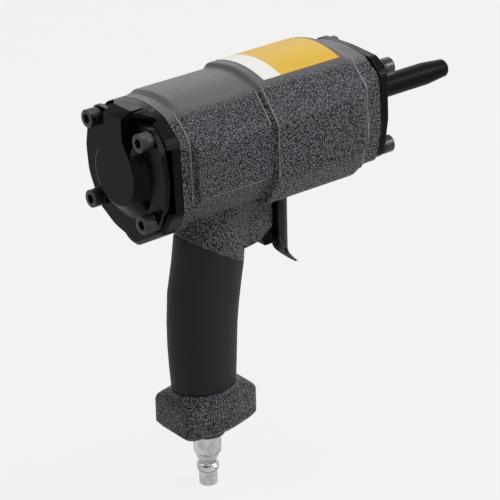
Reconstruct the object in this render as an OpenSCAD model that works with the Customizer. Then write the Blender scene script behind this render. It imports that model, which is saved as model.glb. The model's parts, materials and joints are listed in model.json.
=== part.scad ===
// Pneumatic gun: a piston drives a steel pin along the nose tube.
// Lengths along the barrel (x) start at the rear screw heads, and heights (z) at the barrel axis.
// in_frame() then puts the origin at the free end of the air plug, with +X to the nose and +Z up.

/* [Placing] */
// Height of the barrel axis above the free end of the air plug
axis_height = 207; // [205:1:210]
// Distance from the rear screw heads to the axis of the air plug
plug_x = 55; // [54:0.5:56]

/* [Barrel casting] */
// Front face of the rear cap, where its gasket starts
cap_front_x = 19.7; // [19.5:0.1:20]
// Thickness of both gaskets
gasket_t = 0.6; // [0.4:0.1:0.7]
// End of the rear flange strip
rear_flange_end_x = 26.6; // [26:0.2:27]
// Start of the rear octagonal part
rear_body_x = 30; // [29.5:0.5:31]
// Middle of the step between the two octagonal parts
step_x = 79; // [77:0.5:80]
// Start of the front chamfer
chamfer_x = 141; // [140:0.5:142]
// Start of the front flange
front_flange_x = 150; // [149.5:0.5:150.5]
// Front face of the casting
casting_front_x = 157; // [156.8:0.1:157.2]
// Radius of the air chamber
chamber_r = 27.3; // [26.5:0.1:27.5]
// Radius of the return air chamber
return_r = 24.5; // [24.5:0.1:25]
// Radius of the seat of the cylinder liner and the bumper
seat_r = 21.6; // [21.6:0.05:21.8]

/* [Rear cap] */
// Back face of the cover plate
cover_x = 7.5; // [7.5:0.1:8]
// Thickness of the cover plate
cover_t = 3; // [2.8:0.1:3.2]
// Width of the exhaust slot
slot_w = 4.3; // [4.1:0.1:4.5]
// Radius of the round boss on the cover, at its outer face
boss_r = 18.3; // [18:0.1:18.6]
// Half width of the neck that runs up from the boss
neck_half = 7.8; // [7:0.2:8.4]
// Radius of the chamber that guides the head valve
guide_r = 21; // [20.9:0.05:21.1]

/* [Screws] */
// Distance of the screws from the barrel axis, sideways and up
screw_offset = 23; // [22.8:0.1:23.2]
// Radius of a screw head
head_r = 5; // [4.6:0.1:5]
// Length of a screw head
head_len = 6; // [5:0.5:6]
// Radius of the threaded shank
shank_r = 2.6; // [2.4:0.1:2.6]
// Thickness of a spring washer
washer_t = 1.5; // [1.2:0.1:1.5]

/* [Drive] */
// Inner radius of the cylinder liner
liner_r = 19; // [18.8:0.1:19]
// Radius of the driver pin
driver_r = 3.5; // [3:0.1:3.5]
// Radial clearance of the driver pin in its guide
driver_gap = 0.07; // [0.03:0.01:0.09]
// Radius of the bore that takes the set or the nail, from the guide to the tip
nose_bore_r = 3.75; // [3.74:0.01:3.8]
// Rear face of the piston at rest
piston_x = 28.5; // [28:0.1:29]
// Length of the piston
piston_len = 16; // [14:0.5:16]
// Tip of the driver pin at rest
driver_tip_x = 157.6; // [156:0.2:158]

/* [Nose] */
// Tip of the nose tube
nose_tip_x = 232.6; // [228:0.2:236]
// Outer radius of the nose tube
nose_r = 6.5; // [6.2:0.1:7]
// Outer radius of the nose tube at its tip
nose_tip_r = 5; // [4.6:0.1:5.4]
// Thickness of the front plate
plate_t = 6; // [5:0.5:6]

/* [Handle] */
// Height of the lower end of the grip below the barrel axis
grip_low = 143; // [142:0.2:144]
// Height of the upper end of the grip below the barrel axis, at its middle
grip_high = 61.8; // [61:0.2:62.4]
// Thickness of the rubber grip
grip_t = 3; // [2.5:0.1:3.2]
// Height of the underside of the base below the barrel axis
base_low = 168; // [167.5:0.5:169]
// Distance from the middle of the base to its front face
base_front = 27; // [26:0.5:27.5]
// Distance from the middle of the base to its rear face
base_back = 25.5; // [25:0.5:26.5]

/* [Trigger] */
// Place of the trigger pin along the barrel
hinge_x = 106; // [105.8:0.1:106.2]
// Depth of the trigger pin below the barrel axis
hinge_low = 41.8; // [41.6:0.1:42]
// Half width of the trigger
trigger_half = 8.5; // [8.3:0.1:8.7]
// Wall thickness of the trigger
trigger_t = 1.8; // [1.6:0.1:2]
// Depth of the valve stem below the barrel axis
stem_low = 51.5; // [51.4:0.1:51.6]
// Radius of the valve stem
stem_r = 2; // [1.8:0.1:2]

/* [Hidden] */
$fn = 64;

touch = 0.02;
seam = 0.1;
boss_slope = 22;
boss_corner = [103.2, -56.9];
plug_along = 10.8;
channel_low = 29;
guide_end_x = 158.5;
lug_r = 3.3;
lug_half = 6.2;
casting_rear_x = cap_front_x + gasket_t;
rim_x = cover_x + cover_t + slot_w;
plate_x = casting_front_x + gasket_t + 0.2;
plate_front_x = plate_x + plate_t;
liner_x = 24.3;
liner_end_x = 133;
liner_t = 2.5;
collar_x = 101;
bumper_x = 133.3;
seat_x = 128;
seat_end_x = 147;
nose_flange_r = 14;
screw_places = [for (y = [-1, 1], z = [-1, 1]) screw_offset * [y, z]];

// Half outlines, from the middle of the top to the middle of the bottom: [y, z, radius, steps]
cover_half = [[0, 29.6, 40, 3], [25.6, 28.9, 5, 4], [32.6, 18, 16, 4], [35.6, 3, 22, 5],
    [34, -12, 22, 5], [25.5, -28.5, 10, 4], [12, -36, 20, 4], [0, -38.6, 12, 4]];
rim_half = [[0, 35.8, 60, 10], [19, 31.8, 12, 4], [32, 21.5, 14, 4], [34, -19, 10, 4],
    [26, -31.3, 8, 4], [0, -46.6, 8, 4]];
rear_half = [[0, 38.8, 56, 10], [21, 32.7, 6, 4], [36.4, 15, 6, 4], [36.4, -12.8, 5, 4],
    [24.6, -29.8, 6, 4], [0, -30.8, 40, 4]];
front_half = [[0, 41.2, 60, 10], [22, 35, 6, 4], [38, 16, 6, 4], [38, -15, 10, 4],
    [27.2, -33.8, 8, 4], [0, -35.4, 40, 4]];
nose_flange_half = [[0, 33.2, 60, 10], [19, 31, 8, 4], [30.5, 22.5, 8, 4], [32.6, -6, 20, 4],
    [28, -29, 6, 4], [0, -32.5, 40, 4]];
plate_half = [[0, 31.8, 60, 10], [22, 30.7, 6, 4], [30.6, 22.8, 7, 4], [31.4, -4, 20, 4],
    [27.5, -28, 6, 4], [0, -31.4, 40, 4]];

// Rows of the handle, from the grip's lower end up: [height, slope, x, half length, half width]
grip_rows = [[-grip_low, 0, 54, 19.2, 15.2], [-grip_low + 1.2, 0, 54, 19.6, 15.6],
    [-139, 0, 54, 19.8, 15.8], [-130, -0.03, 53.9, 20.4, 16], [-118, -0.08, 53.9, 21, 16.2],
    [-105, -0.15, 54.3, 21.3, 16.3], [-90, -0.3, 55.6, 21.4, 16.4], [-75, -0.45, 58.4, 20.6, 16.4],
    [-grip_high, -0.6, 60.5, 20.5, 16.3]];
neck_rows = [[-56, -0.5, 61.3, 20.4, 16.2], [-47, -0.4, 62.4, 20.6, 16.2], [-41, -0.3, 63, 21.4, 17],
    [-38, -0.2, 63.4, 23, 18.8],
    [-36, -0.1, 63.6, 26, 22], [-28.5, 0, 63.6, 26, 22]];
// Rows of the base, from its underside up: [height, inset]
base_rows = [[-base_low, 4.2], [-base_low + 0.9, 1.8], [-base_low + 3.2, 0], [-150.8, 0],
    [-149.2, 0.7], [-147.4, 2.8]];
// Faces of the base in plan: [direction, distance from the middle]
base_faces = [[0, base_front], [180, base_back], [99, 20.55], [-99, 20.55], [74.8, 20.07],
    [-74.8, 20.07]];
base_top_rows = [[-145.4, 0, 54.4, 21.6, 17], [-144, 0, 54, 20.2, 15.9],
    [-grip_low - seam, 0, 54, 19.8, 15.6]];

function unit(v) = v / norm(v);
function turn(from, to) = (to - from + 540) % 360 - 180;
function flat(p) = [p.x, p.y];

// Points of a round corner of radius r at one point of an outline
function bend(before, at, after, r, steps) =
    let (back = unit(before - at), on = unit(after - at), half = acos(back * on) / 2,
        centre = at + unit(back + on) * r / sin(half),
        first = at + back * r / tan(half) - centre,
        last = at + on * r / tan(half) - centre,
        start = atan2(first.y, first.x),
        sweep = turn(start, atan2(last.y, last.x)))
    [for (i = [0:steps]) centre + r * [cos(start + sweep * i / steps), sin(start + sweep * i / steps)]];

function both_sides(half) =
    concat(half, [for (i = [len(half) - 2:-1:1]) [-half[i][0], half[i][1], half[i][2], half[i][3]]]);

function outline(half) =
    let (all = both_sides(half), n = len(all))
    [for (i = [0:n - 1])
        each bend(flat(all[(i + n - 1) % n]), flat(all[i]), flat(all[(i + 1) % n]), all[i][2], all[i][3])];

function mixed(a, b, share) = [for (i = [0:len(a) - 1]) a[i] * (1 - share) + b[i] * share];
function at_x(x, points) = [for (p = points) [x, p.x, p.y]];

// One level ring of the handle, an ellipse
function ring(row, inset = 0) =
    [for (i = [0:59])
        let (x = (row[3] - inset) * cos(-6 * i), y = (row[4] - inset) * sin(-6 * i))
        [row[2] + x, y, row[0] + row[1] * x]];

// One level ring of the base, a polygon with soft corners
function base_ring(row) =
    [for (i = [0:59])
        let (near = [for (f = base_faces) pow(max(0, cos(-6 * i - f[0])) / (f[1] - row[1]), 12)],
            r = pow(near * [for (n = near) 1], -1 / 12))
        [plug_x + 0.5 + r * cos(-6 * i), r * sin(-6 * i), row[0]]];

// Circle across the barrel
function disc(x, r, height) = [for (i = [0:59]) [x, r * sin(6 * i), height + r * cos(6 * i)]];

// Closed solid through a list of rings with the same number of points
module loft(rings, closed_loop = false) {
    n = len(rings[0]);
    m = len(rings);
    spans = closed_loop ? m - 1 : m - 2;
    sides = [for (i = [0:spans], j = [0:n - 1])
        let (a = i * n + j, b = i * n + (j + 1) % n, k = ((i + 1) % m) * n)
        each [[a, b, k + (j + 1) % n], [a, k + (j + 1) % n, k + j]]];
    caps = closed_loop ? [] : [[for (j = [n - 1:-1:0]) j], [for (j = [0:n - 1]) (m - 1) * n + j]];
    polyhedron([for (r = rings) each r], concat(sides, caps));
}

module in_frame() {
    translate([-plug_x, 0, axis_height]) children();
}

// Slab of an outline across the barrel
module slab(x, thickness, points) {
    translate([x, 0, 0]) rotate([90, 0, 90]) linear_extrude(thickness) polygon(points);
}

// Rod along the barrel
module rod(x, length, r, place = [0, 0]) {
    translate([x, place.x, place.y]) rotate([0, 90, 0]) cylinder(h = length, r = r);
}

// Solid turned about the barrel axis from [radius, x] points
module turned(points) {
    rotate([0, 90, 0]) rotate_extrude() polygon(points);
}

// Ring of round section about the barrel axis
module o_ring(x, r, section_r) {
    translate([x, 0, 0]) rotate([0, 90, 0]) rotate_extrude() translate([r, 0]) circle(section_r, $fn = 24);
}

// Compression spring along the barrel
module coil(x, length, r, wire_r, turns) {
    steps = 14;
    rings = [for (i = [0:turns * steps])
        let (along = wire_r + (length - 2 * wire_r) * i / (turns * steps), around = 360 * i / steps)
        [for (j = [0:5])
            let (out = r + wire_r * cos(60 * j), up = wire_r * sin(60 * j))
            [x + along + up, out * cos(around), out * sin(around)]]];
    loft(rings);
}

// Sloping face of the valve boss: local -Z points out of it, and local X runs forward along it
module on_boss_face(along = 0) {
    translate([88, 0, -63]) rotate([0, -boss_slope, 0]) translate([along, 0, 0]) children();
}

module housing() {
    color("#50505a") in_frame() difference() {
        union() {
            barrel_shell();
            handle_shell();
            valve_boss();
            hinge_lug();
            translate([plug_x, 0, -base_low - 6]) cylinder(h = 8, r = 10.5);
        }
        rod(casting_rear_x - 1, 100 - casting_rear_x + 1, chamber_r);
        rod(99, seat_x - 99, return_r);
        rod(seat_x - 1, seat_end_x - seat_x + 1, seat_r);
        rod(seat_end_x - 1, 10, 9.2);
        rod(front_flange_x + 0.2, 10, nose_flange_r + 0.1);
        translate([plug_x, 0, -158]) cylinder(h = 158 - 20, r = 7);
        translate([plug_x, 0, -base_low - 7]) cylinder(h = 18, r = 6.6);
        rod(72, 40, 4.5, [0, -stem_low]);
        rod(plug_x, 20, 3, [0, -stem_low]);
        on_boss_face(plug_along) translate([0, 0, -3]) cylinder(h = 4.3, r = 3.2);
        on_boss_face(plug_along) cylinder(h = 6, r = 1.5);
        rod(casting_rear_x - 1, 64, 1, [0, -channel_low]);
        translate([82, 0, -stem_low]) cylinder(h = stem_low - channel_low, r = 1);
        for (place = screw_places) {
            rod(casting_rear_x - 1, 17, shank_r + 0.05, place);
            rod(casting_front_x - 17, 18, shank_r + 0.05, place);
        }
        translate([hinge_x, 10, -hinge_low]) rotate([90, 0, 0]) cylinder(h = 20, r = 1.51);
    }
}

// Barrel: flange, rear octagon, step, front octagon, chamfer and front flange
module barrel_shell() {
    rim = outline(rim_half);
    rear = outline(rear_half);
    front = outline(front_half);
    flange = outline(nose_flange_half);
    loft([
        at_x(casting_rear_x, rim),
        at_x(rear_flange_end_x - 0.6, rim),
        at_x(rear_flange_end_x, mixed(rim, rear, 0.12)),
        at_x(rear_body_x - 0.6, mixed(rim, rear, 0.94)),
        at_x(rear_body_x + 0.6, rear),
        at_x(step_x - 1.6, rear),
        at_x(step_x - 0.8, mixed(rear, front, 0.15)),
        at_x(step_x + 0.6, mixed(rear, front, 0.85)),
        at_x(step_x + 1.8, front),
        at_x(chamfer_x - 1.2, front),
        at_x(chamfer_x + 0.2, mixed(front, flange, 0.06)),
        at_x(chamfer_x + 1.4, mixed(front, flange, 0.2)),
        at_x(front_flange_x - 0.8, mixed(front, flange, 0.95)),
        at_x(front_flange_x + 0.4, flange),
        at_x(casting_front_x, flange)]);
}

// Handle: base, core under the grip sleeve, and neck
module handle_shell() {
    core_inset = grip_t + seam;
    top = grip_rows[len(grip_rows) - 1];
    loft(concat(
        [for (row = base_rows) base_ring(row)],
        [for (row = base_top_rows) ring(row)],
        [ring(base_top_rows[len(base_top_rows) - 1], core_inset + 0.6)],
        [for (i = [1:len(grip_rows) - 1]) ring(grip_rows[i], core_inset)],
        [ring(top)],
        [for (row = neck_rows) ring(row)]));
}

// Upright boss in front of the neck, with a sloping underside
module valve_boss() {
    front = [for (i = [0:16]) [95.7, 0] + 7.5 * [cos(80 - 10 * i), sin(80 - 10 * i)]];
    corner = bend([88, -63], boss_corner, [boss_corner.x, -30], 3.5, 6);
    intersection() {
        translate([0, 0, -63])
            linear_extrude(34) polygon(concat([[72, 12.5], [82, 11]], front, [[82, -11], [72, -12.5]]));
        translate([0, 20, 0]) rotate([90, 0, 0])
            linear_extrude(40)
                polygon(concat([[70, -20], [70, -63], [88, -63]], corner, [[boss_corner.x, -20]]));
    }
}

// Lug under the barrel that holds the trigger pin
module hinge_lug() {
    intersection() {
        translate([0, lug_half, 0]) rotate([90, 0, 0]) linear_extrude(2 * lug_half) union() {
            translate([hinge_x, -hinge_low]) circle(lug_r);
            translate([98, -hinge_low]) square([hinge_x + lug_r - 98, 12]);
        }
        translate([0, 0, -hinge_low - 10]) linear_extrude(24) trigger_plan(hinge_x - 1.7, lug_half);
    }
}

// Cap with a keyhole boss; spent air leaves by the slots between its cover plate and its rim
module rear_cap() {
    cover = outline(cover_half);
    slot_x = cover_x + cover_t;
    neck = [[-neck_half, 34.6], [-neck_half, 19], [-11, 14.5], [-15, 9], [15, 9], [11, 14.5],
        [neck_half, 19], [neck_half, 34.6]];
    color("#18181a") in_frame() difference() {
        union() {
            loft([disc(0.5, boss_r - 1.3, -1.4), disc(0.8, boss_r - 0.6, -1.4), disc(1.4, boss_r, -1.5),
                disc(cover_x + 0.1, 23.3, -4.5)]);
            slab(cover_x, cover_t, cover);
            rim_blocks(slot_x);
            slab(rim_x, cap_front_x - rim_x, outline(rim_half));
            rod(rim_x, 22.5 - rim_x, guide_r + 2.5);
            difference() {
                slab(0.5, rim_x - 0.5, neck);
                translate([0.5, -20, 31.5]) rotate([0, -25, 0]) translate([-20, 0, 0]) cube([20 + 9, 40, 20]);
            }
        }
        rod(4, 9, 11);
        rod(cover_x + 4, 40, guide_r + 0.05);
        for (place = screw_places) rod(0, 40, shank_r + 0.5, place);
        for (side = [-1, 1]) {
            translate([cover_x + 4, side * 22 - 3, -8]) cube([slot_w - 1, 6, 16]);
            translate([cover_x + 4, side * 12 - 2.5, 16]) cube([slot_w - 1, 5, 9]);
            translate([rim_x - 0.1, side * 28 - 3.5, -14]) cube([3.3, 7, 31]);
            translate([rim_x - 0.1, side * 13.5 - 3.5, 24.8]) cube([3.3, 7, 4.6]);
        }
        rod(-1, 9.3, 1.1, [-20, -14]);
        rod(13.2, 10, 1, [0, -channel_low]);
        translate([14, 0, -channel_low]) cylinder(h = 12, r = 1);
    }
}

// What joins the cover plate to the rim: the guide, the screw posts, the corners, the lower block
// and the thin gussets beside the neck
module rim_blocks(slot_x) {
    rim = outline(rim_half);
    intersection() {
        loft([at_x(slot_x - 0.1, [for (p = rim) p * 0.955]),
            at_x(slot_x + 1.9, rim), at_x(rim_x + 0.1, rim)]);
        union() {
            rod(slot_x - 0.1, slot_w + 0.2, guide_r + 2.5);
            for (place = screw_places) rod(slot_x - 0.1, slot_w + 0.2, 6.6, place);
            for (side = [-1, 1])
                translate([slot_x - 0.1, side * 27.1 - 6.9, 18.5]) cube([slot_w + 0.2, 13.8, 14]);
            translate([slot_x - 0.1, -40, -50]) cube([slot_w + 0.2, 80, 33]);
        }
    }
    intersection() {
        difference() {
            slab(cover_x, rim_x + 0.1 - cover_x, rim);
            slab(cover_x - 1, 12, [for (p = rim) p - [0, 2.5]]);
        }
        translate([0, 0, 25]) linear_extrude(20)
            polygon([[rim_x + 0.1, -18.5], [cover_x, -neck_half + 0.1],
                [cover_x, neck_half - 0.1], [rim_x + 0.1, 18.5]]);
    }
}

module rear_gasket() {
    color("#0c0c0c") in_frame() difference() {
        slab(cap_front_x + touch, gasket_t - 2 * touch, [for (p = outline(rim_half)) p * 0.985]);
        rod(cap_front_x - 1, 3, 25);
        rod(cap_front_x - 1, 3, 1.4, [0, -channel_low]);
        for (place = screw_places) rod(cap_front_x - 1, 3, shank_r + 0.5, place);
    }
}

// Socket head screw; its head starts at x and its shank points to +X
module socket_screw(x, length, place) {
    translate([x, place.x, place.y]) rotate([0, 90, 0]) difference() {
        rotate_extrude() polygon([[0, 0], [head_r - 0.5, 0], [head_r, 0.5], [head_r, head_len],
            [shank_r, head_len], [shank_r, head_len + length - 0.6], [shank_r - 0.6, head_len + length],
            [0, head_len + length]]);
        translate([0, 0, -1]) cylinder(h = 4, r = 2.9, $fn = 6);
    }
}

// Split spring washer with its seat at x
module spring_washer(x, place) {
    translate([x, place.x, place.y]) rotate([0, 90, 0]) difference() {
        cylinder(h = washer_t - 2 * touch, r = head_r - 0.1);
        translate([0, 0, -1]) cylinder(h = 4, r = shank_r + 0.2);
        rotate([20, 0, 45]) translate([0, -0.4, -4]) cube([10, 0.8, 12]);
    }
}

module rear_screws() {
    color("#202022") in_frame() for (place = screw_places) socket_screw(0, 28, place);
}

module rear_spring_washers() {
    color("#303034") in_frame() for (place = screw_places) spring_washer(head_len + touch, place);
}

module head_valve() {
    color("#8a8c90") in_frame() turned([[0, 19.8], [11.2, 19.8], [11.2, 15.8], [guide_r - 0.05, 15.8],
        [guide_r - 0.05, 18], [guide_r - 1.9, 18], [guide_r - 1.9, 20.4], [guide_r - 0.05, 20.4],
        [guide_r - 0.05, 22.7], [8, 22.7], [8, 24.1], [0, 24.1]]);
}

module head_valve_seal() {
    color("#26221e") in_frame()
        turned([[8.1, 22.75], [guide_r - 0.1, 22.75], [guide_r - 0.1, 24.1], [8.1, 24.1]]);
}

module head_valve_o_ring() {
    color("#121212") in_frame() o_ring(19.2, guide_r - 0.96, 0.9);
}

module head_valve_spring() {
    color("#b8bac0") in_frame() coil(4.1, 15.6, 9, 0.8, 5);
}

module cylinder_liner() {
    outer = liner_r + liner_t;
    color("#b4b8bd") in_frame() difference() {
        turned([[liner_r, liner_x], [outer, liner_x], [outer, collar_x], [return_r - 0.1, collar_x],
            [return_r - 0.1, 103], [22.5, 103], [22.5, 105], [return_r - 0.1, 105],
            [return_r - 0.1, collar_x + 6], [outer, collar_x + 6], [outer, liner_end_x],
            [liner_r, liner_end_x]]);
        for (a = [45:90:315]) translate([122, 0, 0]) rotate([a, 0, 0]) cylinder(h = 30, r = 1.5);
    }
}

module liner_o_ring() {
    color("#121212") in_frame() o_ring(104, 23.48, 0.95);
}

module piston() {
    r = liner_r - 0.05;
    end = piston_x + piston_len;
    color("#9a9da2") in_frame() turned([[6.1, piston_x], [r - 0.6, piston_x], [r, piston_x + 0.6],
        [r, piston_x + 4.5], [17, piston_x + 4.5], [17, piston_x + 7.5], [r, piston_x + 7.5],
        [r, end - 0.6], [r - 0.6, end], [driver_r + touch, end], [driver_r + touch, piston_x + 2.6],
        [6.1, piston_x + 2.6]]);
}

module piston_ring() {
    color("#121212") in_frame() o_ring(piston_x + 6, 17.98, 0.95);
}

module driver_pin() {
    color("#c2c5c9") in_frame() turned([[0, piston_x + 0.1], [6, piston_x + 0.1], [6, piston_x + 2.58],
        [driver_r, piston_x + 2.58], [driver_r, driver_tip_x - 0.8], [driver_r - 0.8, driver_tip_x],
        [0, driver_tip_x]]);
}

module bumper() {
    color("#1a1a1c") in_frame() turned([[5.5, bumper_x], [18.6, bumper_x], [seat_r - 0.2, bumper_x + 3],
        [seat_r - 0.2, seat_end_x - touch], [5.5, seat_end_x - touch]]);
}

module front_gasket() {
    color("#0c0c0c") in_frame() difference() {
        slab(casting_front_x + touch, gasket_t + 0.2 - 2 * touch,
            [for (p = outline(nose_flange_half)) p * 0.985]);
        rod(casting_front_x - 1, 3, nose_flange_r + 0.4);
        for (place = screw_places) rod(casting_front_x - 1, 3, shank_r + 0.5, place);
    }
}

module front_plate() {
    plate = outline(plate_half);
    color("#18181a") in_frame() difference() {
        loft([at_x(plate_x, plate), at_x(plate_front_x - 0.7, plate),
            at_x(plate_front_x, [for (p = plate) p * 0.98])]);
        rod(plate_x - 1, 20, nose_r + 0.1);
        for (place = screw_places) rod(plate_x - 1, 20, shank_r + 0.5, place);
    }
}

// Tube with a flange at its rear, a guide for the driver pin, and a wider bore for the set or the nail
module nose_tube() {
    guide = driver_r + driver_gap;
    color("#222224") in_frame() turned([[guide + 1, front_flange_x + 0.3],
        [nose_flange_r - 0.2, front_flange_x + 0.3], [nose_flange_r - 0.2, plate_x - touch],
        [nose_r, plate_x - touch], [nose_r, 217],
        [nose_tip_r + 0.1, nose_tip_x - 1], [nose_tip_r - 0.6, nose_tip_x], [nose_bore_r, nose_tip_x],
        [nose_bore_r, guide_end_x + 0.5], [guide, guide_end_x], [guide, front_flange_x + 3]]);
}

module front_screws() {
    head_x = plate_front_x + washer_t + head_len;
    color("#202022") in_frame() for (place = screw_places)
        translate([2 * head_x, 0, 0]) mirror([1, 0, 0]) socket_screw(head_x, 20, place);
}

module front_spring_washers() {
    color("#303034") in_frame() for (place = screw_places) spring_washer(plate_front_x + touch, place);
}

// Channel with a round front, whose lower end flares forward into a narrow lip
module trigger() {
    centre_x = 104.9;
    low = 75;
    high = hinge_low - 5.8;
    lip = [[-87.6, 8, 16, 0], [-87, 7.5, 22, 0], [-85, 5.6, 30, 0], [-82.6, 3.5, 39, 0], [-80.5, 1.9, 46, 0],
        [-78.6, 0.8, 51, 0], [-76.6, 0.2, 53.5, 0], [-75.2, 0, 54.5, 0.08], [-73.6, 0, 54, 0.3]];
    side = [[102.8, -high], [114, -high], [114, -low], [109.6, -low], [106.2, -71.5], [102.8, -62]];
    color("#1c1c1e") in_frame() difference() {
        union() {
            intersection() {
                translate([0, 0, -low]) linear_extrude(low - high) difference() {
                    trigger_plan(centre_x, trigger_half);
                    trigger_plan(centre_x, trigger_half - trigger_t);
                }
                translate([0, 20, 0]) rotate([90, 0, 0]) linear_extrude(40) polygon(side);
            }
            loft([for (row = lip) trigger_arc(centre_x + row[1], row[2], row[0], row[3])]);
        }
        translate([hinge_x, 20, -hinge_low]) rotate([90, 0, 0]) cylinder(h = 40, r = 1.55);
    }
}

// Arc of the trigger's round front, seen from above, from one edge to the other and back inside
function trigger_arc(x, half_angle, z, inset) =
    let (outer = trigger_half - inset, inner = trigger_half - trigger_t + inset)
    [for (i = [6:-1:-6]) [x + outer * cos(half_angle * i / 6), outer * sin(half_angle * i / 6), z],
        for (i = [-6:6]) [x + inner * cos(half_angle * i / 6), inner * sin(half_angle * i / 6), z]];

module trigger_plan(centre_x, half) {
    translate([centre_x, 0]) circle(half);
    translate([90, -half]) square([centre_x - 90, 2 * half]);
}

module trigger_pin() {
    color("#a8abb0") in_frame() translate([hinge_x, 0, -hinge_low]) rotate([90, 0, 0]) {
        translate([0, 0, -trigger_half - 0.4]) cylinder(h = 2 * trigger_half + 0.9, r = 1.5);
        translate([0, 0, trigger_half + 0.1]) cylinder(h = 0.8, r = 2.4);
    }
}

module valve_bushing() {
    color("#b08d3c") in_frame() translate([0, 0, -stem_low]) difference() {
        turned([[stem_r + 0.05, 86], [4.45, 86], [4.45, 88.5], [3.2, 88.5], [3.2, 90.3], [4.45, 90.3],
            [4.45, 98.5], [3.2, 98.5], [3.2, 100.3], [4.45, 100.3], [4.45, 102.8], [stem_r + 0.05, 102.8]]);
    }
}

module valve_o_rings() {
    color("#121212") in_frame() translate([0, 0, -stem_low]) {
        o_ring(89.4, 3.82, 0.6);
        o_ring(99.4, 3.82, 0.6);
    }
}

module valve_stem() {
    color("#c8cace") in_frame() translate([0, 0, -stem_low]) turned(concat(
        [[0, 81], [2.2, 81], [2.2, 82.5], [3.9, 82.5], [3.9, 85.8], [stem_r, 85.8]],
        [for (a = [0:15:90]) [stem_r * cos(a), 109.4 + stem_r * sin(a)]]));
}

module valve_spring() {
    color("#b8bac0") in_frame() translate([0, 0, -stem_low]) coil(72.1, 10.3, 3.2, 0.4, 5);
}

// Hexagonal plug with a round flange, in the sloping face of the valve boss
module exhaust_plug() {
    color("#1a1a1c") in_frame() on_boss_face(plug_along) {
        translate([0, 0, -2.4]) cylinder(h = 3.6, r = 3.15);
        translate([0, 0, -1.4]) cylinder(h = 1.4 - touch, r = 5.8);
        rotate([0, 0, 30]) translate([0, 0, -10.6]) cylinder(h = 9.4, r = 6, $fn = 6);
        rotate([0, 0, 30]) translate([0, 0, -11.2]) cylinder(h = 0.7, r1 = 5.3, r2 = 6, $fn = 6);
    }
}

module grip_sleeve() {
    last = len(grip_rows) - 1;
    rows = [for (i = [0:last]) grip_rows[i] - [i == last ? seam : 0, 0, 0, 0, 0]];
    color("#141414") in_frame() loft(concat(
        [for (row = rows) ring(row)],
        [for (i = [last:-1:0]) ring(rows[i], grip_t)]),
        closed_loop = true);
}

module air_plug() {
    color("#c9cbce") difference() {
        union() {
            rotate_extrude() polygon([[0, 0], [5.2, 0], [5.2, 7.4], [6.3, 9.4], [6.4, 9.8],
                [6.4, 12.2], [5.2, 13.2], [4.9, 13.9], [5, 14.8], [6.3, 17.4], [6.9, 20.2], [0, 20.2]]);
            intersection() {
                translate([0, 0, 20.2]) rotate([0, 0, 12]) cylinder(h = 12.7, r = 8.1, $fn = 6);
                translate([0, 0, 20.2]) cylinder(h = 12.7, r1 = 7.3, r2 = 20);
            }
            translate([0, 0, 32.8]) cylinder(h = 13.2, r = 6.55);
        }
        translate([0, 0, -1]) cylinder(h = 60, r = 3);
    }
}

module label_plate() {
    crown = [for (i = [0:10]) outline(front_half)[i]];
    fall = (front_half[0][1] - front_half[1][1]) / front_half[1][0];
    edge = [20.5, front_half[0][1] - 20.5 * fall];
    base = concat([[-edge.x, edge.y]], crown, [edge]);
    top = [for (i = [len(base) - 1:-1:0]) base[i] + [0, 0.35]];
    color("#e6b62e") in_frame() slab(85, 52.3, concat([for (p = base) p + [0, 0.04]], top));
}

housing();
rear_cap();
rear_gasket();
rear_screws();
rear_spring_washers();
head_valve();
head_valve_seal();
head_valve_o_ring();
head_valve_spring();
cylinder_liner();
liner_o_ring();
piston();
piston_ring();
driver_pin();
bumper();
front_gasket();
front_plate();
nose_tube();
front_screws();
front_spring_washers();
trigger();
trigger_pin();
valve_bushing();
valve_o_rings();
valve_stem();
valve_spring();
exhaust_plug();
grip_sleeve();
air_plug();
label_plate();
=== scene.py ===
import json
import math

import bmesh
import bpy
from mathutils import Matrix, Vector
from mathutils.bvhtree import BVHTree

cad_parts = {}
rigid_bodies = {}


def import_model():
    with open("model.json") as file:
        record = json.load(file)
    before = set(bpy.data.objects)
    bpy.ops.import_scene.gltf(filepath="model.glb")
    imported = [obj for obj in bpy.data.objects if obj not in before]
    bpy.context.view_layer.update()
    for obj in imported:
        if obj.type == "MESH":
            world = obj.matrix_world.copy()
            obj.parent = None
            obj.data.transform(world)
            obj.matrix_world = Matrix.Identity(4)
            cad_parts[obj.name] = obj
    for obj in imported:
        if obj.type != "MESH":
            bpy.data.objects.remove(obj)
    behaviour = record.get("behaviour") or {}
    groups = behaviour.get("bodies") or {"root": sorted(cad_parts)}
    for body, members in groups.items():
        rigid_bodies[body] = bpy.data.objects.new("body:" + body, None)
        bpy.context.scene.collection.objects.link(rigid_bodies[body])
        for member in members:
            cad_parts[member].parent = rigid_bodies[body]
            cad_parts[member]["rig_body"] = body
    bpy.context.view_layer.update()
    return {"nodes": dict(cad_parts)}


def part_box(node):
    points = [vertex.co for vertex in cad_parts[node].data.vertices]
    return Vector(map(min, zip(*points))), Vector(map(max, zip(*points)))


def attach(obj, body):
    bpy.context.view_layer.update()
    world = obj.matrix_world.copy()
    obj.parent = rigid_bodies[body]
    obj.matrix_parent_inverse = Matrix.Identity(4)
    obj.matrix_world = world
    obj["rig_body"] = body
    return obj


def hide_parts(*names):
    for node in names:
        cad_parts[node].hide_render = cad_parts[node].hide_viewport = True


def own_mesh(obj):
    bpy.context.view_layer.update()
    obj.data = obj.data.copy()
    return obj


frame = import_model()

nodes = frame["nodes"]
scene = bpy.context.scene
bpy.ops.object.select_all(action="DESELECT")

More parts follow.
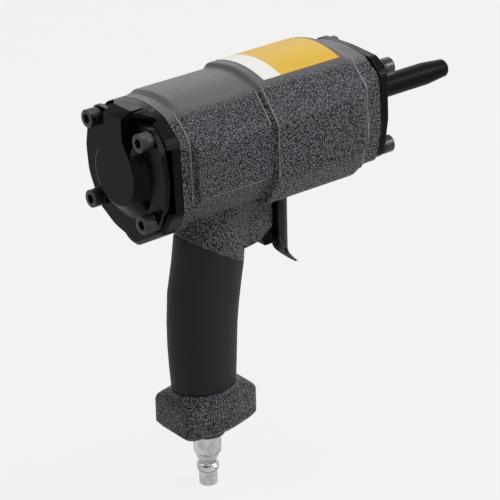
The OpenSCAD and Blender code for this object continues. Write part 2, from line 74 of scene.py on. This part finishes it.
# The camera stands behind the tool and to its right, a little above the barrel.
# It is turned, tipped and rolled by the image points below, and aimed by them before any shift.
turn_deg, tip_deg, roll_deg = -37.72, 24.85, -1.38
aim_across, aim_up, distance = 0.07134, -0.04076, 1.305
photo_wide, photo_high, focal_px = 500, 500, 2495.0
shift_across, shift_up = 0.0, 0.0
rear_low, rear_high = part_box("rear_screws")
axis_height = (rear_low[2] + rear_high[2]) / 2
screw_heads = Vector((rear_low[0], 0, axis_height))
sensor_wide, far_clip = 36.0, 20

turn, tip, roll = (math.radians(angle) for angle in (turn_deg, tip_deg, roll_deg))
back = Vector((math.sin(turn) * math.cos(tip), -math.cos(turn) * math.cos(tip), math.sin(tip)))
level = Vector((math.cos(turn), math.sin(turn), 0))
upright = back.cross(level)
across = math.cos(roll) * level + math.sin(roll) * upright
up = -math.sin(roll) * level + math.cos(roll) * upright
camera_place = screw_heads + across * aim_across + up * aim_up + back * distance
lens = bpy.data.cameras.new("camera")
lens.sensor_fit, lens.sensor_width = "AUTO", sensor_wide
lens.lens = focal_px * lens.sensor_width / max(photo_wide, photo_high)
lens.shift_x, lens.shift_y = shift_across, shift_up
lens.clip_end = far_clip
camera = bpy.data.objects.new("camera", lens)
scene.collection.objects.link(camera)
camera.matrix_world = Matrix.Translation(camera_place) @ Matrix((across, up, back)).transposed().to_4x4()
scene.camera = camera
bpy.context.view_layer.update()

# Points read off the photograph, in its own 500 by 500 frame.
photo_points = {
    "left_edge": (80, None), "right_edge": (446, None), "top_edge": (None, 36), "bottom_edge": (None, 484.8),
    "rear_screw_upper_far": (86.3, 118.3), "rear_screw_lower_far": (90.7, 199.7),
    "rear_screw_upper_near": (137.6, 144.7), "rear_screw_lower_near": (141.1, 225.2),
    "front_screw_upper_near": (390, 64.9), "front_screw_lower_near": (389.2, 142.7),
    "nose_tip": (443.5, 67.6), "air_plug_end": (208.3, 481),
    "label_rear_far": (217.4, 59.7), "label_rear_near": (265.2, 80.1),
    "label_front_near": (338.9, 56.4), "label_front_far": (292, 37.3),
    "grip_top_front": (243.7, 260.5), "base_near_corner": (195.9, 441.5),
    "side_ridge_rear": (207.1, 199.3), "side_ridge_front": (267.1, 178.6),
}

# A ray that misses is searched in these steps, before and behind the distance that the camera is aimed at.
miss_step, miss_steps = 0.002, 60


def ray_from_camera(x, y):
    longer = max(photo_wide, photo_high)
    return (across * (x - photo_wide / 2 + shift_across * longer)
            + up * (photo_high / 2 - y + shift_up * longer)
            - back * (longer * lens.lens / lens.sensor_width)).normalized()


def carrier_of(*names):
    shape = bmesh.new()
    for name in names:
        part = bpy.data.meshes.new_from_object(nodes[name])
        shape.from_mesh(part)
        bpy.data.meshes.remove(part)
    tree = BVHTree.FromBMesh(shape)
    shape.free()
    return tree


def land(point, carrier):
    ray = ray_from_camera(*point)
    place = carrier.ray_cast(camera_place, ray)[0]
    if place is None:
        along_ray = (distance + step * miss_step for step in range(-miss_steps, miss_steps))
        place = min((carrier.find_nearest(camera_place + ray * away) for away in along_ray),
                    key=lambda found: found[3])[0]
    return place


# The casting: one piece of die-cast aluminium, with barrel, neck, handle core and base together.
# It is sprayed with dark grey hammer paint, which draws up into small glossy cells.
# On the level crown the wet paint flowed out flat, so the cells fade where the skin turns up towards it.
cell_tones = (0.006, 0.006, 0.008), (0.208, 0.205, 0.232)
crown_tones = (0.086, 0.086, 0.090), (0.112, 0.112, 0.117)
cell_size, cell_reach = 0.00092, (0.20, 0.62)
fleck_size, fleck_share, fleck_reach = 0.0014, (0.65, 1.3), (0.38, 0.62)
cell_gloss, cell_relief = (0.5, 0.24), (0.0005, 0.8)
crown_slope, crown_fade, crown_bumps = 0.62, (-0.0055, 0.0005), 0.06
casting_edge, weld_reach, edge_angle = 0.0007, 1e-6, 30
whole = (0, 1)


def finish(name, tones, roughness, metallic=0.0, **sockets):
    made = bpy.data.materials.new(name)
    made.use_nodes = True
    surface = made.node_tree.nodes["Principled BSDF"]
    surface.inputs["Base Color"].default_value = (*(sum(pair) / 2 for pair in zip(*tones)), 1)
    surface.inputs["Roughness"].default_value = roughness
    surface.inputs["Metallic"].default_value = metallic
    for socket, value in sockets.items():
        surface.inputs[socket.replace("_", " ")].default_value = value
    return made, made.node_tree, surface


def object_place(tree):
    if "coordinates" not in tree.nodes:
        tree.nodes.new("ShaderNodeTexCoord").name = "coordinates"
    return tree.nodes["coordinates"].outputs["Object"]


def along(tree, letter):
    split = tree.nodes.new("ShaderNodeSeparateXYZ")
    tree.links.new(object_place(tree), split.inputs["Vector"])
    return split.outputs[letter]


def pattern(tree, kind="Noise", stretch=None, **inputs):
    made = tree.nodes.new("ShaderNodeTex" + kind)
    source = object_place(tree)
    if stretch:
        mapping = tree.nodes.new("ShaderNodeMapping")
        mapping.inputs["Scale"].default_value = stretch
        tree.links.new(source, mapping.inputs["Vector"])
        source = mapping.outputs["Vector"]
    tree.links.new(source, made.inputs["Vector"])
    for socket, value in inputs.items():
        made.inputs[socket].default_value = value
    return made.outputs["Fac" if kind == "Noise" else "Distance"]


def spread(tree, height, low, high, between=(0.3, 0.7)):
    made = tree.nodes.new("ShaderNodeMapRange")
    made.inputs["From Min"].default_value, made.inputs["From Max"].default_value = between
    made.inputs["To Min"].default_value, made.inputs["To Max"].default_value = low, high
    tree.links.new(height, made.inputs["Value"])
    return made.outputs["Result"]


def worked(tree, operation, first, second=0.0):
    made = tree.nodes.new("ShaderNodeMath")
    made.operation = operation
    for socket, value in zip(made.inputs, (first, second)):
        if isinstance(value, float):
            socket.default_value = value
        else:
            tree.links.new(value, socket)
    return made.outputs[0]


def mixed(tree, share, first, second):
    made = tree.nodes.new("ShaderNodeMix")
    made.data_type = "RGBA"
    tree.links.new(share, made.inputs["Factor"])
    for socket, colour in ((made.inputs[6], first), (made.inputs[7], second)):
        if isinstance(colour, tuple):
            socket.default_value = (*colour, 1)
        else:
            tree.links.new(colour, socket)
    return made.outputs[2]


# A tone is a pair of colours, a gloss a pair of roughnesses, and a relief a depth with its strength.
def tint(tree, surface, height, tones, between=(0.3, 0.7)):
    tree.links.new(mixed(tree, spread(tree, height, 0, 1, between), *tones), surface.inputs["Base Color"])


def dull(tree, surface, height, gloss, between=(0.3, 0.7)):
    tree.links.new(spread(tree, height, *gloss, between), surface.inputs["Roughness"])


def emboss(tree, surface, height, relief):
    made = tree.nodes.new("ShaderNodeBump")
    made.inputs["Distance"].default_value, made.inputs["Strength"].default_value = relief
    tree.links.new(height, made.inputs["Height"])
    tree.links.new(made.outputs["Normal"], surface.inputs["Normal"])


def dress(node, material, radius=0.0, steps=2):
    nodes[node].data.materials.clear()
    nodes[node].data.materials.append(material)
    if radius:
        weld = nodes[node].modifiers.new("joined triangles", "WELD")
        weld.merge_threshold = weld_reach
        edge = nodes[node].modifiers.new("rounded edges", "BEVEL")
        edge.width, edge.segments, edge.limit_method = radius, steps, "ANGLE"
        edge.angle_limit = math.radians(edge_angle)
        edge.harden_normals = True
        edge.miter_outer = "MITER_ARC"


hammer_paint, tree, surface = finish("hammer_paint", cell_tones, 0.3, Specular_IOR_Level=0.15)
cells = pattern(tree, "Voronoi", Scale=1 / cell_size, Randomness=1.0)
flecks = pattern(tree, Scale=1 / fleck_size, Detail=2.0)
risen = worked(tree, "MULTIPLY", worked(tree, "SUBTRACT", along(tree, "Z"), axis_height), crown_slope)
inward = worked(tree, "SUBTRACT", risen, worked(tree, "ABSOLUTE", along(tree, "Y")))
flat = spread(tree, inward, 0, 1, crown_fade)
middles = worked(tree, "MULTIPLY", spread(tree, cells, 1, 0, cell_reach),
                 spread(tree, flecks, *fleck_share, fleck_reach))
celled, level_skin = mixed(tree, middles, *cell_tones), mixed(tree, flecks, *crown_tones)
tree.links.new(mixed(tree, flat, celled, level_skin), surface.inputs["Base Color"])
dull(tree, surface, middles, cell_gloss, whole)
bumps = worked(tree, "MULTIPLY", middles, spread(tree, flat, 1.0, crown_bumps, whole))
emboss(tree, surface, bumps, cell_relief)
dress("housing", hammer_paint, casting_edge, 3)

# The rear cap and the front plate: cast aluminium in satin black powder coat.
# The cap's cover plate stands clear of its rim, so that spent air leaves by the slots between them.
coat_tones = (0.0016, 0.0016, 0.0015), (0.0032, 0.0032, 0.0029)
peels_per_metre, hazes_per_metre = 1400.0, 60.0
coat_gloss, peel_relief, coat_edge = (0.2, 0.32), (0.00005, 0.4), 0.0005

black_coat, tree, surface = finish("black_coat", coat_tones, 0.27, Specular_IOR_Level=0.07)
peel = pattern(tree, Scale=peels_per_metre, Detail=2.0)
haze = pattern(tree, Scale=hazes_per_metre, Detail=2.0)
tint(tree, surface, haze, coat_tones, whole)
dull(tree, surface, peel, coat_gloss)
emboss(tree, surface, peel, peel_relief)
for part in ("rear_cap", "front_plate"):
    dress(part, black_coat, coat_edge)

# The gaskets: thin pressed fibre, dark with oil, seen only as a line at each end of the casting.
# They are punched from sheet, and the screws squeeze them between the casting and its two ends.
fibre_tones = (0.004, 0.004, 0.004), (0.014, 0.013, 0.012)
fibres_per_metre = 2500.0

gasket_fibre, tree, surface = finish("gasket_fibre", fibre_tones, 0.8, Specular_IOR_Level=0.2)
tint(tree, surface, pattern(tree, Scale=fibres_per_metre, Detail=2.0), fibre_tones, whole)
for part in ("rear_gasket", "front_gasket"):
    dress(part, gasket_fibre)

# The screws: eight M6 socket head screws with knurled heads, of hardened steel with a black oxide skin.
# They hold the cap and the front plate on, each with a split spring washer under its head.
# The washers and the trigger's pin have the same skin.
head_radius, head_length, shank_radius = 0.005, 0.006, 0.0026
socket_radius, socket_depth = 0.0029, 0.0032
tip_length, tip_share, rim_radius = 0.0006, 0.78, 0.0004
knurls, knurl_margin, knurl_depth = 40, 0.00007, 0.00016
screw_out = (rear_high[2] - rear_low[2]) / 2 - head_radius
quarters = {"upper_far": (1, 1), "upper_near": (-1, 1), "lower_far": (1, -1), "lower_near": (-1, -1)}
oxide_tones = (0.008, 0.008, 0.008), (0.034, 0.034, 0.032)
films_per_metre, oxide_gloss, washer_edge = 500.0, (0.26, 0.42), 0.0002
smooth_angle = 30

black_oxide, tree, surface = finish("black_oxide", oxide_tones, 0.34, 0.35, Specular_IOR_Level=0.4)
oil_film = pattern(tree, Scale=films_per_metre, Detail=4.0)
tint(tree, surface, oil_film, oxide_tones)
dull(tree, surface, oil_film, oxide_gloss)


def pick(test, kind="FACE"):
    bpy.ops.mesh.select_mode(type=kind)
    shape = bmesh.from_edit_mesh(bpy.context.object.data)
    for item in (*shape.verts, *shape.edges, *shape.faces):
        item.select = False
    for item in {"FACE": shape.faces, "EDGE": shape.edges}[kind]:
        if test(item):
            item.select_set(True)
    shape.select_flush_mode()
    bmesh.update_edit_mesh(bpy.context.object.data)


def settle(piece, material):
    bpy.ops.object.mode_set(mode="OBJECT")
    bpy.ops.object.transform_apply(location=True, rotation=True, scale=True)
    bpy.ops.object.shade_smooth_by_angle(angle=math.radians(smooth_angle))
    piece.data.materials.clear()
    piece.data.materials.append(material)
    piece.select_set(False)


def copy_of(piece, name, moved=(0, 0, 0)):
    made = bpy.data.objects.new(name, piece.data.copy())
    made.data.transform(Matrix.Translation(moved))
    scene.collection.objects.link(made)
    return made


def socket_screw(head_x, forward, shank):
    bpy.ops.object.select_all(action="DESELECT")
    bpy.ops.mesh.primitive_cylinder_add(vertices=2 * knurls, radius=head_radius, depth=head_length,
                                        location=(head_x + forward * head_length / 2, 0, axis_height),
                                        rotation=(0, forward * math.pi / 2, 0))
    screw = bpy.context.object
    bpy.ops.object.mode_set(mode="EDIT")
    # Local +Z runs down the shank: first the shank and its tip, then the head's rounded rim, then the knurl.
    pick(lambda face: face.normal.z > 0.9)
    bpy.ops.mesh.inset(thickness=head_radius - shank_radius)
    for length in (shank - tip_length, tip_length):
        bpy.ops.mesh.extrude_region_move(TRANSFORM_OT_translate={"value": (forward * length, 0, 0)})
    bpy.ops.transform.resize(value=(1, tip_share, tip_share))
    rim = -head_length / 2
    pick(lambda edge: all(abs(v.co.z - rim) < weld_reach for v in edge.verts), "EDGE")
    bpy.ops.mesh.bevel(offset=rim_radius, segments=3)
    pick(lambda face: abs(face.normal.z) < 0.1 and face.calc_center_median().xy.length > 0.98 * head_radius
         and face.calc_center_median().z < 0.0)
    bpy.ops.mesh.inset(thickness=knurl_margin, depth=-knurl_depth, use_individual=True)
    bpy.ops.object.mode_set(mode="OBJECT")
    bpy.ops.mesh.primitive_cylinder_add(vertices=6, radius=socket_radius, depth=2 * socket_depth,
                                        location=(head_x, 0, axis_height), rotation=(0, math.pi / 2, 0))
    key = bpy.context.object
    key.select_set(False)
    bpy.context.view_layer.objects.active = screw
    screw.select_set(True)
    cut = screw.modifiers.new("hexagon socket", "BOOLEAN")
    cut.operation, cut.solver, cut.object = "DIFFERENCE", "EXACT", key
    bpy.ops.object.modifier_apply(modifier=cut.name)
    bpy.data.objects.remove(key)
    settle(screw, black_oxide)
    return screw


# One screw is modelled per end, because the rear ones are longer, and copied to the four corners.
first_screws = {}
for end, forward in (("rear", 1), ("front", -1)):
    low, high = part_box(end + "_screws")
    head_x = low[0] if forward > 0 else high[0]
    first_screws[end] = socket_screw(head_x, forward, high[0] - low[0] - head_length)
for quarter, (side, rise) in quarters.items():
    for end, first in first_screws.items():
        screw = copy_of(first, f"{end}_screw_{quarter}", (0, side * screw_out, rise * screw_out))
        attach(screw, "gun")
        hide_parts(end + "_screws")
for first in first_screws.values():
    bpy.data.objects.remove(first)
for part in ("rear_spring_washers", "front_spring_washers", "trigger_pin"):
    dress(part, black_oxide, washer_edge)

# The nose tube and the exhaust plug: turned steel with the same black oxide skin, a little smoother.
# The tube's faint rings were left by the lathe.
blued_tones = (0.002, 0.002, 0.002), (0.006, 0.006, 0.0057)
blued_rings, blued_gloss = (6000.0, 20.0, 20.0), (0.32, 0.46)
blued_relief, blued_edge = (0.00003, 0.5), 0.0003

blued_steel, tree, surface = finish("blued_steel", blued_tones, 0.4, Specular_IOR_Level=0.04)
rings = pattern(tree, stretch=blued_rings, Scale=1.0, Detail=2.0)
tint(tree, surface, rings, blued_tones)
dull(tree, surface, rings, blued_gloss)
emboss(tree, surface, rings, blued_relief)
for part in ("nose_tube", "exhaust_plug"):
    dress(part, blued_steel, blued_edge)

# The trigger: pressed steel channel in black paint that has rubbed a little shiny.
# It hangs on its pin between the cheeks of the casting's lug, and pushes the valve stem as it is pulled.
trigger_tones = (0.0055, 0.0055, 0.005), (0.0105, 0.0105, 0.0098)
rubs_per_metre, trigger_gloss, trigger_edge = 220.0, (0.5, 0.34), 0.0003

trigger_paint, tree, surface = finish("trigger_paint", trigger_tones, 0.42, Specular_IOR_Level=0.14)
rubbed = pattern(tree, Scale=rubs_per_metre, Detail=5.0)
tint(tree, surface, rubbed, trigger_tones)
dull(tree, surface, rubbed, trigger_gloss)
dress("trigger", trigger_paint, trigger_edge)

# The grip: a moulded rubber sleeve with a fine, even grain, stretched over the handle core.
# Its own stretch holds it there, between the neck and the base.
grip_tones = (0.009, 0.009, 0.009), (0.014, 0.014, 0.014)
grains_per_metre, smudges_per_metre = 2600.0, 45.0
grain_relief, grip_edge = (0.00008, 0.45), 0.0006

grip_rubber, tree, surface = finish("grip_rubber", grip_tones, 0.6, Specular_IOR_Level=0.18)
grain = pattern(tree, Scale=grains_per_metre, Detail=3.0)
tint(tree, surface, pattern(tree, Scale=smudges_per_metre, Detail=2.0), grip_tones, whole)
emboss(tree, surface, grain, grain_relief)
dress("grip_sleeve", grip_rubber, grip_edge, 3)

# The air plug: turned from steel bar and nickel plated, with a hexagon for the spanner.
# Dark rings are painted at the foot of the hexagon, along the cone and beside the collar: painted shade in
# its grooves and painted reflections of dark parts. Each dark ring has its height, half its width and how
# much of the metal it hides.
painted_dark_rings = ((0.0203, 0.0005, 0.9), (0.0186, 0.0003, 0.45), (0.0168, 0.0003, 0.5), (0.0139, 0.0005, 0.6),
              (0.0094, 0.0004, 0.85))
nickel_tones, painted_shade_black = ((0.37, 0.375, 0.385), (0.58, 0.59, 0.605)), (0.01, 0.01, 0.01)
nickel_rings, nickel_gloss = (30.0, 30.0, 5000.0), (0.14, 0.3)
nickel_relief, nickel_edge = (0.00002, 0.4), 0.0003
smears_per_metre, ring_core = 180.0, 0.3

nickel_plate, tree, surface = finish("nickel_plate", nickel_tones, 0.2, 1.0)
rings = pattern(tree, stretch=nickel_rings, Scale=1.0, Detail=2.0)
smear = pattern(tree, Scale=smears_per_metre, Detail=3.0)
up_plug = along(tree, "Z")
# The rings, set by height, are painted shade in the grooves and painted reflections of dark parts.
painted_darkness = 0.0
for ring_height, half_width, cover in painted_dark_rings:
    away = worked(tree, "ABSOLUTE", worked(tree, "SUBTRACT", up_plug, ring_height))
    painted_darkness = worked(tree, "MAXIMUM", spread(tree, away, cover, 0.0, (ring_core * half_width, half_width)), painted_darkness)
plated = mixed(tree, spread(tree, smear, 0, 1), *nickel_tones)
tree.links.new(mixed(tree, painted_darkness, plated, painted_shade_black), surface.inputs["Base Color"])
dull(tree, surface, rings, nickel_gloss)
emboss(tree, surface, rings, nickel_relief)
dress("air_plug", nickel_plate, nickel_edge)

# The label: printed film on the crown of the barrel, a white strip at its rear and yellow ahead of it.
# What was printed on it names a maker, so it is left plain.
label_white, label_yellow = (0.70, 0.69, 0.65), (0.61, 0.383, 0.039)
white_shade, yellow_shade = 0.95, 0.93
label_split_x, split_blur = 0.0417, 0.00005
papers_per_metre, paper_relief = 1500.0, (0.00001, 0.3)

label_print, tree, surface = finish("label_print", (label_yellow, label_yellow), 0.45, Specular_IOR_Level=0.2)
paper = pattern(tree, Scale=papers_per_metre, Detail=3.0)
halves = [mixed(tree, spread(tree, paper, 0, 1), tuple(shade * c for c in colour), colour)
          for colour, shade in ((label_white, white_shade), (label_yellow, yellow_shade))]
ahead = spread(tree, along(tree, "X"), 0, 1, (label_split_x - split_blur, label_split_x + split_blur))
tree.links.new(mixed(tree, ahead, *halves), surface.inputs["Base Color"])
emboss(tree, surface, paper, paper_relief)
dress("label_plate", label_print)

# The side ridges: a fine raised line that the die leaves along the lower edge of each side of the barrel.
# Its lighter paint is a painted highlight, so it shows as a light line. It is placed by two of the image
# points.
ridge_width, ridge_faces = 0.0005, 10
highlight_tones = (0.045, 0.045, 0.05), (0.19, 0.19, 0.195)
highlight_flecks_per_metre = 900.0

# This paint's lighter colour is a painted highlight on the side ridges and on the beads.
ridge_highlight_paint, tree, surface = finish("ridge_highlight_paint", highlight_tones, 0.4, Specular_IOR_Level=0.4)
tint(tree, surface, pattern(tree, Scale=highlight_flecks_per_metre, Detail=2.0), highlight_tones)
casting = carrier_of("housing")
ridge_rear = land(photo_points["side_ridge_rear"], casting)
ridge_front = land(photo_points["side_ridge_front"], casting)
ridge_middle = (ridge_rear + ridge_front) / 2
bpy.ops.object.select_all(action="DESELECT")
bpy.ops.mesh.primitive_cylinder_add(vertices=ridge_faces, radius=ridge_width / 2,
                                    depth=ridge_front.x - ridge_rear.x, location=ridge_middle,
                                    rotation=(0, math.pi / 2, 0))
ridge = bpy.context.object
bpy.ops.object.mode_set(mode="EDIT")
pick(lambda face: abs(face.normal.z) > 0.9)
bpy.ops.mesh.inset(thickness=ridge_width / 5, depth=ridge_width / 2)
settle(ridge, ridge_highlight_paint)
ridge.name = "side_ridge_near"
for piece in (ridge, copy_of(ridge, "side_ridge_far", (0, -2 * ridge_middle.y, 0))):
    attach(piece, "gun")

# The beads: fine raised lines round the barrel, two at the step between its lengths, one where each flange
# begins. Each is a narrow band of the casting's own skin, drawn out a little, in a lighter paint that is a
# painted highlight.
# It is given by its place along the barrel, its width, and the heights between which it runs.
bead_rise, bead_edge, bore_reach = 0.0004, 0.0002, 0.008
beads = {"step_bead_rear": (0.0226, 0.0009, 0.2235, 0.2385),
         "step_bead_front": (0.0257, 0.0009, 0.192, 0.2405),
         "flange_bead_rear": (-0.0290, 0.0009, 0.191, 0.2385),
         "flange_bead_front": (0.0908, 0.0018, 0.178, 0.2400)}

grown = 1 + bead_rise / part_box("housing")[1][1]
for bead_name, (bead_x, bead_width, bead_low, bead_high) in beads.items():
    bpy.ops.object.select_all(action="DESELECT")
    bead = copy_of(nodes["housing"], bead_name)
    bead.select_set(True)
    bpy.context.view_layer.objects.active = bead
    bpy.ops.object.mode_set(mode="EDIT")
    bpy.ops.mesh.select_all(action="SELECT")
    bpy.ops.mesh.remove_doubles(threshold=weld_reach)
    near_end, far_end = bead_x - bead_width / 2, bead_x + bead_width / 2
    for place, outward in (((near_end, 0, 0), (-1, 0, 0)), ((far_end, 0, 0), (1, 0, 0)),
                           ((0, 0, bead_low), (0, 0, -1)), ((0, 0, bead_high), (0, 0, 1))):
        bpy.ops.mesh.select_all(action="SELECT")
        bpy.ops.mesh.bisect(plane_co=place, plane_no=outward, clear_outer=True)
    pick(lambda face: face.normal.yz.dot(face.calc_center_median().yz - screw_heads.yz) < bore_reach)
    bpy.ops.mesh.delete(type="FACE")
    bpy.ops.mesh.select_all(action="SELECT")
    bpy.ops.transform.resize(value=(1, grown, grown), center_override=(bead_x, 0, axis_height))
    bpy.ops.object.mode_set(mode="OBJECT")
    wall = bead.modifiers.new("bead wall", "SOLIDIFY")
    wall.thickness, wall.offset = 2 * bead_rise, -1
    soft = bead.modifiers.new("soft edges", "BEVEL")
    soft.width, soft.segments, soft.limit_method = bead_edge, 2, "ANGLE"
    for modifier in ("bead wall", "soft edges"):
        bpy.ops.object.modifier_apply(modifier=modifier)
    # The bead's lighter paint is a painted highlight.
    settle(bead, ridge_highlight_paint)
    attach(bead, "gun")

# The drive: turned aluminium cylinder, piston and head valve, with the lathe's rings on them.
# The cylinder is held in the casting. The piston slides in it, and the head valve in the rear cap.
turned_tones = (0.47, 0.48, 0.50), (0.62, 0.63, 0.65)
turned_rings, turned_gloss = (7000.0, 25.0, 25.0), (0.22, 0.4)
turned_relief, turned_edge = (0.00003, 0.5), 0.0002

turned_aluminium, tree, surface = finish("turned_aluminium", turned_tones, 0.3, 1.0)
rings = pattern(tree, stretch=turned_rings, Scale=1.0, Detail=2.0)
tint(tree, surface, rings, turned_tones)
dull(tree, surface, rings, turned_gloss)
emboss(tree, surface, rings, turned_relief)
for part in ("cylinder_liner", "piston", "head_valve"):
    dress(part, turned_aluminium, turned_edge)

# The driver pin and the valve stem: hardened steel, ground bright.
# The pin is riveted through the piston, and the stem slides in the valve bushing.
ground_tones = (0.45, 0.46, 0.48), (0.58, 0.59, 0.61)
ground_lines, ground_gloss, ground_edge = (4000.0, 200.0, 200.0), (0.16, 0.32), 0.00015

ground_steel, tree, surface = finish("ground_steel", ground_tones, 0.22, 1.0)
grinding = pattern(tree, stretch=ground_lines, Scale=1.0, Detail=3.0)
tint(tree, surface, grinding, ground_tones, whole)
dull(tree, surface, grinding, ground_gloss)
for part in ("driver_pin", "valve_stem"):
    dress(part, ground_steel, ground_edge)

# The springs: hard drawn wire, with die marks along it.
# Each coil is copied with its triangles joined, and the copy is shown in its place.
wire_tones, die_marks_per_metre = ((0.36, 0.37, 0.39), (0.58, 0.59, 0.61)), 3000.0
pressed_by = {"head_valve_spring": ("head_valve_lift", 0.004), "valve_spring": ("valve_stem_push", 0.00155)}

spring_wire, tree, surface = finish("spring_wire", wire_tones, 0.3, 1.0)
tint(tree, surface, pattern(tree, Scale=die_marks_per_metre, Detail=2.0), wire_tones, whole)
for part, (joint, travel) in pressed_by.items():
    dress(part, spring_wire)
    low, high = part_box(part)
    coil = copy_of(nodes[part], part + "_wire")
    joined = bmesh.new()
    joined.from_mesh(coil.data)
    bmesh.ops.remove_doubles(joined, verts=joined.verts, dist=weld_reach)
    joined.to_mesh(coil.data)
    joined.free()
    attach(coil, "gun")
    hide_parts(part)
    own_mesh(coil)

# The valve bushing: free-cutting brass, turned, with two grooves for its O-rings.
# It is pushed into the casting behind the trigger, and the rings seal it there.
brass_tones = (0.50, 0.34, 0.11), (0.66, 0.47, 0.18)
brass_rings, brass_gloss, brass_edge = (6000.0, 40.0, 40.0), (0.2, 0.36), 0.00015

brass, tree, surface = finish("turned_brass", brass_tones, 0.26, 1.0)
rings = pattern(tree, stretch=brass_rings, Scale=1.0, Detail=2.0)
tint(tree, surface, rings, brass_tones)
dull(tree, surface, rings, brass_gloss)
dress("valve_bushing", brass, brass_edge)

# The seals and the bumper: oil-proof black rubber, matt, with a bloom of grease.
# They are moulded rings: the seals lie in grooves or on seats, and the bumper stops the piston.
seal_tones = (0.007, 0.007, 0.007), (0.022, 0.021, 0.020)
blooms_per_metre, seal_gloss = 700.0, (0.35, 0.65)

seal_rubber, tree, surface = finish("seal_rubber", seal_tones, 0.5, Specular_IOR_Level=0.35)
bloom = pattern(tree, Scale=blooms_per_metre, Detail=3.0)
tint(tree, surface, bloom, seal_tones, whole)
dull(tree, surface, bloom, seal_gloss)
for part in ("head_valve_seal", "head_valve_o_ring", "liner_o_ring", "piston_ring", "valve_o_rings",
             "bumper"):
    dress(part, seal_rubber)

# The floor: a plain white table, which the camera sees as bright as the wall behind it.
# Polished metal sees it so too. It keeps a little of the tool's own soft shadow.
floor_grey, floor_size = (0.62, 0.62, 0.62), 8
backdrop_white, backdrop_share = (0.912, 0.912, 0.912), 0.93


def sees_backdrop(tree):
    rays = tree.nodes.new("ShaderNodeLightPath")
    any_of = rays.outputs["Is Camera Ray"]
    for kind in ("Is Glossy Ray", "Is Transmission Ray"):
        any_of = worked(tree, "MAXIMUM", any_of, rays.outputs[kind])
    return any_of


def shown_or(tree, share, plain, white, output):
    either = tree.nodes.new("ShaderNodeMixShader")
    tree.links.new(share, either.inputs[0])
    tree.links.new(plain.outputs[0], either.inputs[1])
    tree.links.new(white.outputs[0], either.inputs[2])
    tree.links.new(either.outputs[0], tree.nodes[output].inputs["Surface"])


bpy.ops.object.select_all(action="DESELECT")
bpy.ops.mesh.primitive_plane_add(size=floor_size)
floor = bpy.context.object
floor.name = "studio_floor"
floor_paint, tree, surface = finish("studio_floor", (floor_grey, floor_grey), 0.9, Specular_IOR_Level=0.1)
glow = tree.nodes.new("ShaderNodeEmission")
glow.inputs["Color"].default_value = (*backdrop_white, 1)
share = worked(tree, "MULTIPLY", sees_backdrop(tree), backdrop_share)
shown_or(tree, share, surface, glow, "Material Output")
floor.data.materials.append(floor_paint)

# The room: dim grey walls, with the white backdrop only for the camera and for mirror-like surfaces.
room_grey = (0.22, 0.22, 0.22)

world = bpy.data.worlds.new("studio")
scene.world = world
world.use_nodes = True
tree = world.node_tree
walls = tree.nodes["Background"]
walls.inputs["Color"].default_value = (*room_grey, 1)
backdrop = tree.nodes.new("ShaderNodeBackground")
backdrop.inputs["Color"].default_value = (*backdrop_white, 1)
shown_or(tree, sees_backdrop(tree), walls, backdrop, "World Output")

# The lamps: a wide softbox overhead, two at the right that catch the upper facets, a low one along the tool's
# side, a fill on its far side behind the cap, and one ahead whose reflection runs along the crown.
# Each has its place, width, height and power, and faces the middle of the tool.
lit_middle = Vector((0.05, 0, 0.17))
softboxes = {"top_softbox": ((0.05, -0.1, 1.35), 1.0, 0.9, 9),
             "right_softbox": ((0.72, -0.95, 0.72), 0.32, 0.5, 3.2),
             "front_softbox": ((0.946, -0.617, 0.783), 0.2, 0.3, 6),
             "low_softbox": ((-0.42, -1.10, 0.42), 0.16, 0.75, 1.0),
             "left_softbox": ((-1.2, 0.5, 0.6), 0.35, 0.9, 2.5),
             "back_softbox": ((0.75, 0.95, 0.75), 0.9, 0.5, 2)}

for name, (place, width, height, power) in softboxes.items():
    lamp = bpy.data.lights.new(name, "AREA")
    lamp.shape, lamp.size, lamp.size_y, lamp.energy = "RECTANGLE", width, height, power
    holder = bpy.data.objects.new(name, lamp)
    scene.collection.objects.link(holder)
    holder.location = place
    holder.rotation_euler = (lit_middle - Vector(place)).to_track_quat("-Z", "Y").to_euler()


bpy.context.view_layer.update()
scene_pieces = [nodes[name] for name in nodes if not nodes[name].hide_render]
scene_pieces += [o for o in scene.objects if o.type == "MESH" and o.get("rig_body") and o not in scene_pieces]

scene.view_settings.view_transform = "Standard"
